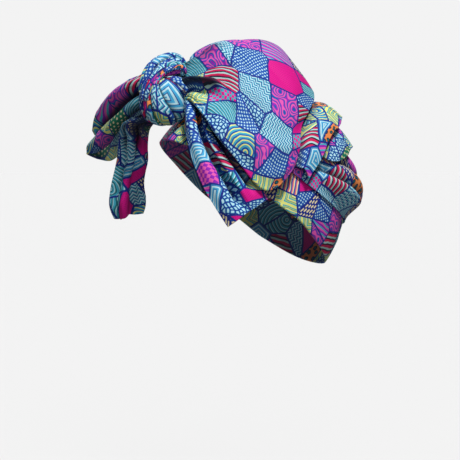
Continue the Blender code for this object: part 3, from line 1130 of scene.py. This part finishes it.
@dataclass
class CrownWrap(Cloth):
    """The cloth over the crown, with pleats from the knot and a loose pouch at the back.

    Attributes:
        edge: where its hem is, in degrees from the wrap's axis.
        lift: how far it stands off the core, in mm.
        least_lift: how far at least.
        hem_lift: how far at its hem.
        hem_blend: degrees over which it comes down to its hem.
        scale: mm of cloth for each radian from the axis.
        pleats: how many run round the knot.
        pleat_depth: their height, in mm.
        pouch_depth: how much further the pouch stands off, in mm.
        pouch_rise: how high its middle is, in degrees up.
        pouch_above: how far it spreads up, in degrees.
        pouch_below: how far it spreads down.
        pouch_spread: how far it spreads to each side.
        crease_width: half the width of a crease, in degrees.
        pouch_creases: both ends' degrees from the front and degrees up, and the height in mm.
    """

    closed = True

    edge: float = 70.0
    lift: float = 5.2
    least_lift: float = 4.6
    hem_lift: float = 4.1
    hem_blend: float = 12.0
    scale: float = 96.0
    pleats: int = 9
    pleat_depth: float = 2.2
    pouch_depth: float = 17.5
    pouch_rise: float = 0.5
    pouch_above: float = 22.0
    pouch_below: float = 12.0
    pouch_spread: float = 62.0
    crease_width: float = 3.2
    pouch_creases: tuple[tuple[float, float, float, float, float], ...] = (
        (110, 25, 170, -6, -10.0),
        (108, 14, 150, -15, -6.0),
        (126, 28, 185, 3, -7.0),
        (116, 19, 162, -5, 3.5),
        (195, 26, 240, -2, -7.0),
        (205, 8, 245, -14, -4.0),
        (176, 33, 222, 16, -5.0),
        (168, -4, 214, -18, -5.0),
        (228, 34, 276, 10, -5.0),
        (236, 2, 268, -12, -3.5),
    )

    def shape(self) -> Drape:
        """Drapes the cloth.

        Returns:
            The draped cloth.
        """
        along, across = grid(self.cells)
        around, polar = 360 * along, self.edge * across
        rays = CORE.wrap_rays(polar, around)
        reach = np.radians(polar) * self.scale
        uv = np.stack([reach * np.cos(np.radians(around)), reach * np.sin(np.radians(around))], -1)
        lift, creased = self._lift(rays, polar, uv)
        # the last value is painted shade in the valleys of the pleats and pouch creases
        return Drape(rays * (CORE.radius(rays) + lift)[..., None], uv, hollows(creased, shallow=0.5, deep=9.0))

    def _lift(self, rays: np.ndarray, polar: np.ndarray, uv: np.ndarray) -> tuple[np.ndarray, np.ndarray]:
        """How far the cloth stands off the core.

        Args:
            rays: directions from the middle of the core.
            polar: degrees from the wrap's axis.
            uv: places on the flat cloth, in mm.

        Returns:
            The lift, and how much of it the pleats and creases give, in mm.
        """
        turn = np.degrees(np.arctan2(rays[..., 0], -rays[..., 1])) % 360
        rise = np.degrees(np.arcsin(np.clip(rays[..., 2], -1, 1)))
        spread = np.where(rise > self.pouch_rise, self.pouch_above, self.pouch_below)
        back = np.exp(-((np.minimum(np.abs(turn - 180), 180) / self.pouch_spread) ** 2))
        pouch = np.exp(-(((rise - self.pouch_rise) / spread) ** 2)) * back
        knot = unit(np.array(KNOT.centre))
        side = unit(np.cross(knot, [1.0, 0.0, 0.0]))
        away = np.arccos(np.clip(rays @ knot, -1, 1))
        angle = np.arctan2(rays[..., 0], rays @ side)
        wave = np.abs(np.cos(angle * self.pleats / 2 + 0.3 * np.sin(angle * 3)))
        pleat = (wave - 0.55) * 2 * self.pleat_depth
        pleat += 0.5 * (np.abs(np.cos(angle * self.pleats * 1.7 + 1.0)) - 0.6)
        fan = np.sin(np.minimum(away, math.pi)) ** 1.5
        seamless = crease_heights(self.creases, uv[..., 0], uv[..., 1])
        full = self.lift + self.pouch_depth * pouch + seamless * (0.4 + pouch)
        creased = pleat * fan
        for t0, r0, t1, r1, height in self.pouch_creases:
            width, tall = t1 - t0, r1 - r0
            run = np.clip(((turn - t0) * width + (rise - r0) * tall) / (width**2 + tall**2), 0, 1)
            gap = np.hypot(turn - t0 - run * width, rise - r0 - run * tall)
            ends = np.sin(math.pi * np.clip(run, 0.02, 0.98)) ** 0.5
            creased += height * np.exp(-((gap / self.crease_width) ** 1.4)) * ends
        full = np.maximum(full + creased, self.least_lift)
        blend = smooth((self.edge - polar) / self.hem_blend)
        return self.hem_lift + (full - self.hem_lift) * blend, creased * blend


@dataclass
class Knot(Piece):
    """The wound knot at the front.

    Attributes:
        pleats: how many strips it is wound from.
        pleat_depth: how deep the tucks between them are, in mm.
        tuck_depth: how high the fine tucks on them are, in mm.
        twist: how far the strips lean, in degrees.
        squareness: how full its shape is, from 2 for a ball.
        axis: which way its poles point.
        scale: mm of cloth for each radian round it, and for each one down.
        cut: how far apart on the cloth neighbouring strips are, in mm.
        cells: how many faces it has round and down.
    """

    pleats: int = 8
    pleat_depth: float = 3.4
    tuck_depth: float = 0.4
    twist: float = 14.0
    squareness: float = 2.4
    axis: tuple[float, float, float] = (0.32, -0.42, 0.9)
    scale: Pair = (19.0, 27.0)
    cut: Pair = (13.0, 37.0)
    cells: tuple[int, int] = (272, 100)

    def shape(self) -> Drape:
        """Winds the lump.

        Returns:
            Its surface.
        """
        around, down = grid(self.cells, math.tau, math.pi)
        ball = np.stack([np.sin(down) * np.sin(around), -np.sin(down) * np.cos(around), np.cos(down)], -1)
        ball = ball @ np.array(Vector(self.axis).to_track_quat("Z", "Y").to_matrix()).T
        full = (np.abs(ball) ** self.squareness).sum(-1) ** (-1 / self.squareness)
        lean = math.radians(self.twist) * np.cos(down + 0.4)
        angle = around + lean + 0.10 * np.sin(2 * around + 0.6) + 0.06 * np.sin(3 * around)
        flank = np.sin(down) ** 0.7
        pleat = np.abs(np.sin(angle * self.pleats / 2)) ** 0.5 * flank
        tuck = np.abs(np.sin(angle * self.pleats * 1.5 + 1.3 * np.cos(down))) * flank
        raised = self.pleat_depth * (pleat - 0.85) + self.tuck_depth * tuck
        points = np.array(KNOT.centre) + ball * (np.array(KNOT.half) * full[..., None] + raised[..., None])
        strip = np.floor(angle * self.pleats / math.tau)
        u = angle * self.scale[0] + self.cut[0] * strip
        v = -down * self.scale[1] + self.cut[1] * strip
        # the last value is painted shade in the tucks between the strips
        return Drape(points, np.stack([u, v], -1), TUCK_DARK * smooth(1 - pleat / 0.5))

    def declare(self, piece: bpy.types.Object) -> None:
        """Adds nothing to the knot."""


@dataclass
class Roll(Piece):
    """A rolled strand of cloth that passes over the knot.

    Attributes:
        centre_line: places along its middle, in mm.
        half: half its width and half its thickness, in mm.
        strands: how many folds wind along it.
        twist: how many turns they make.
        groove: how deep it is between them, in mm.
        blunt: the share of its length that each rounded end takes.
        scale: mm of cloth for each radian round it.
        cut: how far apart on the cloth neighbouring strands are, in mm.
        cells: how many faces it has along and round.
    """

    centre_line: tuple[Point, ...]
    half: Pair
    strands: int = 5
    twist: float = 0.16
    groove: float = 3.0
    blunt: float = 0.015
    scale: float = 8.0
    cut: Pair = (17.0, 31.0)
    cells: tuple[int, int] = (120, 100)

    def shape(self) -> Drape:
        """Twists the strand.

        Returns:
            Its surface.
        """
        along, turn = grid(self.cells, 1.0, math.tau)
        control = np.array(self.centre_line, float)
        centre = spline_weights(along, len(control)) @ control
        ahead = unit(np.gradient(centre, axis=0))
        outward = unit(np.cross(ahead, [1.0, 0.0, 0.0]))
        sideways = np.cross(outward, ahead)
        taper = 0.3 + 0.7 * np.sqrt(np.maximum(0.0, 1 - np.abs(2 * along - 1) ** 4))
        cap = np.sqrt(np.clip(np.minimum(along, 1 - along) / self.blunt, 0, 1))
        angle = turn + math.tau * self.twist * along
        fold = np.abs(np.sin(angle * self.strands / 2)) ** 0.5
        fine = np.abs(np.sin(angle * self.strands * 1.5 + 0.7))
        depth = self.groove * (fold - 0.85) + 0.3 * (fine - 0.8)
        form = sideways * (np.cos(turn) * (self.half[0] + depth))[..., None]
        form += outward * (np.sin(turn) * (self.half[1] + depth))[..., None]
        strand = np.floor(angle * self.strands / math.tau)
        u = arc_lengths(centre, 0) + self.cut[0] * strand
        v = angle * self.scale + self.cut[1] * strand
        # the last value is painted shade in the grooves between the strands
        return Drape(
            centre + form * (taper * cap)[..., None], np.stack([u, v], -1), TUCK_DARK * smooth(1 - fold / 0.55)
        )

    def declare(self, piece: bpy.types.Object) -> None:
        """Adds nothing to the roll."""


def arch(x: float, *places: tuple[float, float]) -> tuple[Point, ...]:
    """Points at one x, from their y and z."""
    return tuple(Point(x, y, z) for y, z in places)


def section_rows(spot: type, *rows: Sequence[tuple[float, float, float]]) -> Rows:
    """Rows of plain numbers as Spots or Points, whichever is given."""
    return tuple(tuple(spot(*place) for place in row) for row in rows)


@dataclass
class BowLoopLeft(SectionCloth):
    """The big loop over the left side: tuck, crest, shoulder, belly, lower belly, hem and lip."""

    sections: Rows = section_rows(
        Spot,
        ((-14, 62, 14), (-8, 66, 31), (0, 63.5, 29.5), (6, 58.5, 24.5),
         (8, 55, 21.5), (9, 52.5, 19.5), (5, 54.5, 16.5)),
        ((-34, 68, 13.5), (-11, 68.5, 43), (4, 66.5, 37.5), (19, 60, 31),
         (24, 55, 27), (26, 50.5, 25.5), (20, 52.5, 21.5)),
        ((-70, 74, 12), (-9, 75, 47.5), (18, 69, 40), (31, 61, 33),
         (35, 54, 28.5), (37, 45, 25.5), (32.5, 47.5, 21)),
        ((-110, 76, 11.5), (-1, 82, 48.8), (40, 70, 42), (50, 61.5, 35),
         (52, 50, 28.5), (49.5, 35.5, 24), (46.5, 39, 19.5)),
        ((-140, 76, 11.5), (110, 87, 48.6), (66, 68, 44), (66, 56, 33.5),
         (64, 43.5, 27.5), (59, 26, 21.5), (56, 29.5, 17.5)),
        ((-160, 72, 11.5), (149, 80.5, 47.5), (85, 68, 44), (77, 52, 31),
         (74, 35, 25.5), (67.5, 16.5, 18.5), (65.5, 20, 14.8)),
        ((-175, 66, 11.5), (154, 75, 44.5), (105, 66, 39), (88, 48, 27.5),
         (81, 28, 22.5), (76, 8, 15.2), (74.5, 11.5, 12.2)),
        ((175, 61, 12.5), (157.5, 68.5, 36), (116, 60, 32), (96, 45, 25),
         (88, 27, 20.5), (84, 7.2, 14), (83, 10.5, 11.6)),
        ((168, 58, 14), (159.3, 62, 28), (127, 57, 26), (105, 44, 22),
         (94.5, 27, 18.5), (93, 14, 14), (92, 17, 11.8)),
        ((165, 56, 16), (160, 57.5, 23.5), (138, 53.5, 21.5), (114, 45, 18),
         (103.5, 30.5, 15), (98.5, 22, 14.5), (97, 22.5, 12.5)),
    )
    knot_ends: int = 1
    still: Pair = (0.1, 0.6)
    squeeze: float = 0.5
    folds: Folds = (
        Fold(0.04, 0.3, 0.36, 0.27, 0.035, -9.0, -4.0),
        Fold(0.3, 0.6, 0.27, 0.2, 0.05, -3.0, -1.0),
        Fold(0.05, 0.55, 0.44, 0.35, 0.04, 3.5, 2.2),
        Fold(0.12, 0.28, 0.6, 0.59, 0.03, -15.0, -11.0),
        Fold(0.12, 0.32, 0.54, 0.53, 0.035, 4.5, 3.0),
        Fold(0.05, 0.5, 0.69, 0.66, 0.04, 2.5, 1.0),
        Fold(0.15, 0.8, 0.75, 0.76, 0.035, -1.5, -1.5),
    )


@dataclass
class BowLoopRight(SectionCloth):
    """The free loop on the right, from its top: out along its front layer, back along its rear one."""

    sections: Rows = section_rows(
        Point,
        ((-16, -85, 103), (-15, -88, 97), (-15, -91, 90), (-16, -88, 82)),
        ((-34, -83.5, 115), (-28, -87, 105), (-29, -89, 94), (-33, -88, 83)),
        ((-47, -90, 113), (-41, -96, 102), (-41, -97, 90), (-47, -93, 78)),
        ((-68, -94, 107), (-59, -103, 96), (-60, -105, 78), (-67, -99, 64)),
        ((-92, -98, 99), (-82, -106, 86), (-83, -108, 69), (-86, -103, 50)),
        ((-110, -101, 87), (-104, -108, 73), (-104, -111, 58), (-105, -109, 42)),
        ((-121, -102, 76), (-120, -107, 61), (-120, -111, 50), (-119, -114, 41)),
        ((-126, -97, 80), (-127, -98, 66), (-127, -100, 51), (-122, -101, 36)),
        ((-116, -89, 95), (-118, -91, 76), (-118, -92, 54), (-109, -92, 35)),
        ((-96, -84, 105), (-98, -86, 87), (-97, -88, 67), (-88, -87, 47)),
        ((-70, -79, 112), (-71, -82, 99), (-70, -84, 86), (-66, -83, 70)),
        ((-42, -74, 113), (-43, -75, 104), (-42, -77, 94), (-42, -78, 83)),
        ((-17, -71, 108), (-17, -72, 101), (-17, -73, 93), (-17, -74, 85)),
    )
    knot_ends: int = 2
    squeeze: float = 0.5
    folds: Folds = (
        Fold(0.03, 0.42, 0.5, 0.5, 0.13, -13.0, -11.0, 3.0),
        Fold(0.06, 0.42, 0.2, 0.2, 0.12, 4.0, 3.0),
        Fold(0.12, 0.42, 0.82, 0.8, 0.12, 4.0, 3.5),
        Fold(0.58, 1.0, 0.45, 0.5, 0.12, -3.0, -4.0),
    )
    shades: Folds = (Fold(0.0, 0.4, 0.95, 0.9, 0.42, -11.0, -7.0),)


@dataclass
class TailRight(SectionCloth):
    """The tail that hangs on the right, from its outer edge over its ridge to its inner edge."""

    sections: Rows = section_rows(
        Point,
        ((-12, -90, 80), (-8, -93, 76), (-3, -93, 73), (2, -90, 70)),
        ((-46, -100, 68), (-36, -104, 69), (-24, -101, 66), (-12, -90, 63)),
        ((-67, -100, 55), (-52, -99, 56), (-42, -94, 55), (-38, -82, 52)),
        ((-76, -99, 36), (-60, -98, 36), (-49, -92, 35), (-54, -76, 35)),
        ((-79, -103, 14), (-63, -102, 14), (-53, -95, 13), (-60, -77, 14)),
        ((-79, -105, -4), (-65, -104, -6), (-55, -96, -6), (-60, -76, -5)),
        ((-76, -101, -18), (-66, -100, -21), (-59, -95, -18), (-61, -78, -15)),
    )
    knot_ends: int = 1
    squeeze: float = 0.6
    folds: Folds = (
        Fold(0.05, 1.0, 0.35, 0.3, 0.07, -5.5, -4.0),
        Fold(0.05, 0.9, 0.52, 0.58, 0.08, 3.0, 2.5),
        Fold(0.1, 0.9, 0.74, 0.76, 0.07, -4.5, -4.0),
        Fold(0.1, 0.9, 0.14, 0.12, 0.06, 1.5, 1.5),
    )
    shades: Folds = (Fold(0.0, 0.36, 0.5, 0.5, 0.9, -12.0, -6.0),)


@dataclass
class TailLeft(SectionCloth):
    """The tail that fans out on the left: front edge, ridge, valley, rear ridge and tuck."""

    sections: Rows = section_rows(
        Spot,
        ((11, 53, 20), (14, 54, 20), (17, 54.5, 18), (20, 55, 17), (23, 55, 15)),
        ((19, 49, 18.5), (24, 50, 20), (29, 50.5, 14), (33.5, 50.5, 15.5), (38, 50, 12.5)),
        ((28, 36.6, 14.5), (33.5, 37, 17.5), (39.5, 36.5, 11), (46, 36, 13.5), (53, 35, 10.5)),
        ((37, 21, 14.5), (43.5, 22, 18), (50, 22, 10.5), (57, 22, 14), (66, 21, 10)),
        ((45, 6.5, 17), (52, 8.5, 19.5), (59, 9, 13), (66, 9.5, 14), (75, 9.5, 9.4)),
        ((51.5, -4, 19), (57.5, -2.5, 19.5), (64, -0.5, 15), (71, 1, 13), (78.5, 4, 9)),
        ((57.5, -14, 19), (62.5, -10.5, 18), (68, -7, 14.5), (74, -3.5, 11.5), (80.5, 0.5, 8.6)),
    )
    knot_ends: int = 1
    still: Pair = (1.0, 0.2)
    squeeze: float = 0.6
    folds: Folds = (
        Fold(0.0, 0.9, 0.18, 0.2, 0.15, 3.0, 1.5),
        Fold(0.03, 0.72, 0.43, 0.46, 0.055, -10.0, -9.0),
        Fold(0.1, 0.7, 0.6, 0.62, 0.06, 3.0, 2.5),
        Fold(0.05, 0.6, 0.8, 0.8, 0.05, -6.0, -6.0),
    )
    shades: Folds = (Fold(0.1, 0.62, 0.84, 0.9, 0.2, -9.0, -6.5),)


@dataclass
class SideFold(SectionCloth):
    """A fold behind the big loop, from the edge under the loop to its free edge."""

    still: Pair = (0.2, 1.0)
    shades: Folds = (Fold(0.2, 1.0, 0.15, 0.15, 0.28, -7.5, -7.5),)


FRONT_FOLD_ROWS = section_rows(
    Spot,
    ((174, 60, 9.2), (176, 55, 9.6), (178, 50, 11), (178, 44, 13), (177, 38, 15)),
    ((150, 60, 10.5), (157, 54, 16), (158, 50, 21), (160.8, 45, 23.5), (160.8, 39.8, 25)),
    ((125, 54, 11), (128, 48, 15), (131, 44, 20), (137, 40, 21.5), (143, 36.5, 22)),
    ((112, 47, 10.5), (116, 42, 13.5), (120, 39, 18.5), (127, 37, 20.5), (134.6, 35.2, 21)),
    ((105, 38, 10), (110, 37, 12.2), (114.5, 36, 17), (120, 33.5, 18.5), (126.5, 30.5, 18)),
    ((102, 28, 9.5), (106, 27, 11.4), (109.5, 26.5, 15.5), (113, 25, 16), (118.5, 23, 15)),
    ((101.5, 20, 9), (103.5, 19, 10.4), (105.5, 18, 12), (107, 15.5, 12.5), (108.3, 12.3, 12)),
)
REAR_FOLD_ROWS = section_rows(
    Spot,
    ((180, 46, 10), (179, 38, 12), (178, 31, 14), (177, 24, 15.5)),
    ((158, 45, 12), (160, 38, 15), (161.4, 32, 17.5), (161.4, 25.3, 18.8)),
    ((135, 40, 11), (139, 35, 13.5), (146, 30, 15.5), (153, 24.5, 17)),
    ((128, 33, 11), (131, 29, 13.5), (138, 26, 15), (145, 22, 15.5)),
    ((122, 26, 11), (125, 23, 12), (130, 21, 13), (135, 20.5, 13.5)),
)
OUTER_ARCH = arch(
    -10.9,
    *((-97, 94), (-93, 106), (-87.7, 116.4), (-79.5, 123.6), (-71.8, 126.2)),
    *((-64.5, 124.5), (-60, 117), (-59.5, 109), (-61, 102)),
)
INNER_ARCH = arch(
    7.5,
    *((-102, 88), (-99, 97.5), (-94, 107), (-86.4, 114.8), (-77.8, 118.6), (-68.4, 118.6), (-63.5, 113.3)),
)


@dataclass
class HeadWrap:
    """The whole wrap."""

    def pieces(self) -> list[Piece]:
        """Sets out the sub-assemblies.

        Returns:
            Them, in the order that they are tied.
        """
        return [
            HeadBand(
                "head_band",
                PatchworkCotton("band_cotton", turn=20, shift=(43.1, 63.7)),
                flat=(0.54, 0.052),
                held=Held.STRETCHED,
                rests_on=(),
                cells=(260, 36),
                creases=Creases(wave=0.3, wave_length=40, crease=0.35, crease_length=14, seed=5),
            ),
            CrownWrap(
                "crown_wrap",
                PatchworkCotton("crown_cotton", turn=-15, shift=(16.3, 9.9)),
                flat=(0.23, 0.19),
                rests_on=("head_band",),
                cells=(300, 120),
                creases=Creases(wave=1.2, wave_length=45, crease=0.6, crease_length=20, heading=40, seed=9),
            ),
            SideFold(
                "side_fold_rear",
                PatchworkCotton("rear_fold_cotton", patch=24, turn=35, shift=(15.5, 27.2)),
                flat=(0.09, 0.035),
                held=Held.FOLDED,
                rests_on=("crown_wrap",),
                cells=(90, 50),
                sections=REAR_FOLD_ROWS,
                creases=Creases(wave=0.6, wave_length=30, crease=0.4, crease_length=14, heading=60, seed=3),
            ),
            SideFold(
                "side_fold_front",
                PatchworkCotton("front_fold_cotton", patch=27, turn=-30, shift=(18.4, 35)),
                flat=(0.12, 0.04),
                held=Held.FOLDED,
                rests_on=("side_fold_rear", "crown_wrap"),
                cells=(110, 60),
                sections=FRONT_FOLD_ROWS,
                creases=Creases(wave=0.8, wave_length=34, crease=0.5, crease_length=16, heading=60, seed=4),
            ),
            TailLeft(
                "tail_left",
                PatchworkCotton("left_tail_cotton", patch=21, turn=12, shift=(37.7, 32.4)),
                flat=(0.15, 0.056),
                cells=(150, 90),
                gather=Gather(pleats=5, depth=1.0, reach=0.14, seed=6),
                creases=Creases(wave=0.8, wave_length=40, crease=0.5, crease_length=18, seed=6),
            ),
            TailRight(
                "tail_right",
                PatchworkCotton("right_tail_cotton", patch=25, turn=65, shift=(37.2, 58.1)),
                flat=(0.13, 0.055),
                cells=(150, 80),
                gather=Gather(pleats=6, depth=2.4, reach=0.6, seed=7),
                creases=Creases(wave=1.2, wave_length=40, crease=0.6, crease_length=18, seed=7),
            ),
            BowLoopRight(
                "bow_loop_right",
                PatchworkCotton("right_loop_cotton", patch=27, turn=80, shift=(39.6, 41.3)),
                flat=(0.27, 0.05),
                cells=(220, 70),
                gather=Gather(pleats=5, depth=1.8, reach=0.16, both_ends=True, seed=8),
                creases=Creases(wave=1.0, wave_length=40, crease=0.5, crease_length=18, seed=8),
            ),
            BowLoopLeft(
                "bow_loop_left",
                PatchworkCotton("left_loop_cotton", patch=34, turn=10, shift=(31, 38)),
                flat=(0.185, 0.14),
                rests_on=("knot", "crown_wrap"),
                cells=(220, 220),
                gather=Gather(pleats=11, depth=2.2, reach=0.2, seed=11),
                creases=Creases(wave=2.0, wave_length=55, crease=1.4, crease_length=26, heading=25, seed=11),
            ),
            Knot("knot", PatchworkCotton("knot_cotton", patch=22, turn=8, shift=(21, 29), stretch=1.6)),
            Roll(
                "roll_outer",
                PatchworkCotton("outer_roll_cotton", patch=22, turn=5, shift=(44, 58)),
                OUTER_ARCH,
                half=(8.6, 8.0),
            ),
            Roll(
                "roll_inner",
                PatchworkCotton("inner_roll_cotton", patch=20, turn=-10, shift=(24, 47)),
                INNER_ARCH,
                half=(8.3, 6.0),
            ),
        ]


class Lamp(NamedTuple):
    """A distant lamp: degrees round the wrap, degrees up, its strength and how wide it looks, in degrees."""

    name: str
    azimuth: float
    height: float
    energy: float
    spread: float


@dataclass
class Studio:
    """The camera, the floor and the light.

    Attributes:
        azimuth: where the camera stands round the wrap, in degrees.
        elevation: how high it looks from, in degrees.
        distance: how far it stands from the origin, in metres.
        sensor: the width of the camera's sensor, in mm.
        pixel: how much of the wrap's plane a pixel shows, in metres.
        frame: the frame's width and height, in pixels.
        middle: the pixel that shows the origin.
        floor_drop: how far the floor is below the origin, in metres.
        floor_radius: how wide it is, in metres.
        floor_tone: how much light the floor's paper gives back.
        bounce: how much of it reaches the wrap.
        backdrop: brightness of the surround.
        ambient: brightness of the light that it gives.
        lamps: the lamps.
    """

    azimuth: float = 67.0
    elevation: float = 2.0
    distance: float = 2.0
    sensor: float = 36.0
    pixel: float = 0.00093
    frame: int = 460
    middle: Pair = (245.0, 198.0)
    floor_drop: float = 0.32
    floor_radius: float = 40.0
    floor_tone: float = 0.5
    bounce: float = 0.18
    backdrop: float = 0.896
    ambient: float = 0.07
    lamps: tuple[Lamp, ...] = (
        Lamp("key", 86.0, 58.0, 3.9, 10.0),
        Lamp("fill", 72.0, 25.0, 0.45, 25.0),
        Lamp("back", 262.0, 28.0, 1.3, 40.0),
    )

    def camera(self) -> None:
        """Places the camera at the photograph's angle."""
        back = direction(self.azimuth, self.elevation)
        right = (-back).cross(Vector((0, 0, 1))).normalized()
        up = right.cross(-back)
        lens = bpy.data.cameras.new("camera")
        lens.sensor_width = self.sensor
        lens.lens = self.sensor * self.distance / (self.frame * self.pixel)
        lens.dof.use_dof = False
        camera = put_in("camera", lens, -back, "-Z")
        across = (self.frame / 2 - self.middle[0]) * self.pixel
        down = (self.frame / 2 - self.middle[1]) * self.pixel
        camera.location = back * self.distance + right * across - up * down
        bpy.context.scene.camera = camera

    def floor(self) -> None:
        """Lays a wide floor below the wrap that looks as pale as the surround where it is lit."""
        bm = bmesh.new()
        bmesh.ops.create_circle(bm, cap_ends=True, segments=64, radius=self.floor_radius)
        bmesh.ops.translate(bm, verts=bm.verts, vec=(0, 0, -self.floor_drop))
        mesh = bpy.data.meshes.new("floor")
        bm.to_mesh(mesh)
        bm.free()
        sunlight = sum(lamp.energy * math.sin(math.radians(lamp.height)) for lamp in self.lamps)
        glow = self.backdrop - self.floor_tone * (math.pi * self.ambient + sunlight) / math.pi
        material = bpy.data.materials.new("pale_floor")
        graph = Graph(material)
        paper = graph.value("ShaderNodeBsdfDiffuse", {"Color": grey(self.floor_tone)})
        shine = graph.value("ShaderNodeEmission", {"Strength": glow})
        seen = graph.value("ShaderNodeAddShader", {0: paper, 1: shine})
        felt = graph.value("ShaderNodeBsdfDiffuse", {"Color": grey(self.bounce)})
        graph.node("ShaderNodeOutputMaterial", {"Surface": graph.seen_or_lit(seen, felt)})
        mesh.materials.append(material)
        floor = put_in("floor", mesh)

    def lights(self) -> None:
        """Hangs the lamps and sets a pale surround that lights the wrap only a little."""
        for lamp in self.lamps:
            sun = bpy.data.lights.new(lamp.name, "SUN")
            sun.energy = lamp.energy
            sun.angle = math.radians(lamp.spread)
            put_in(lamp.name, sun, direction(lamp.azimuth, lamp.height))
        world = bpy.data.worlds.new("surround")
        bpy.context.scene.world = world
        graph = Graph(world)
        seen = graph.value("ShaderNodeBackground", {"Color": grey(self.backdrop)})
        felt = graph.value("ShaderNodeBackground", {"Color": grey(self.ambient)})
        graph.node("ShaderNodeOutputWorld", {"Surface": graph.seen_or_lit(seen, felt)})

    def build(self) -> None:
        """Sets up the studio."""
        self.camera()
        self.floor()
        self.lights()
        bpy.context.scene.view_settings.view_transform = "Standard"


def main() -> None:
    """Loads the frame, dresses the wrap and sets up the studio."""
    logging.basicConfig(level=logging.INFO, format="%(name)s %(message)s")
    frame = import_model()
    LOG.info("frame has %d nodes", len(frame["nodes"]))
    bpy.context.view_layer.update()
    Studio().build()
    for piece in HeadWrap().pieces():
        made = piece.build()
        LOG.info("%s: %d faces, for %s", made.name, len(made.data.polygons), piece.node)


if __name__ == "__main__":
    main()
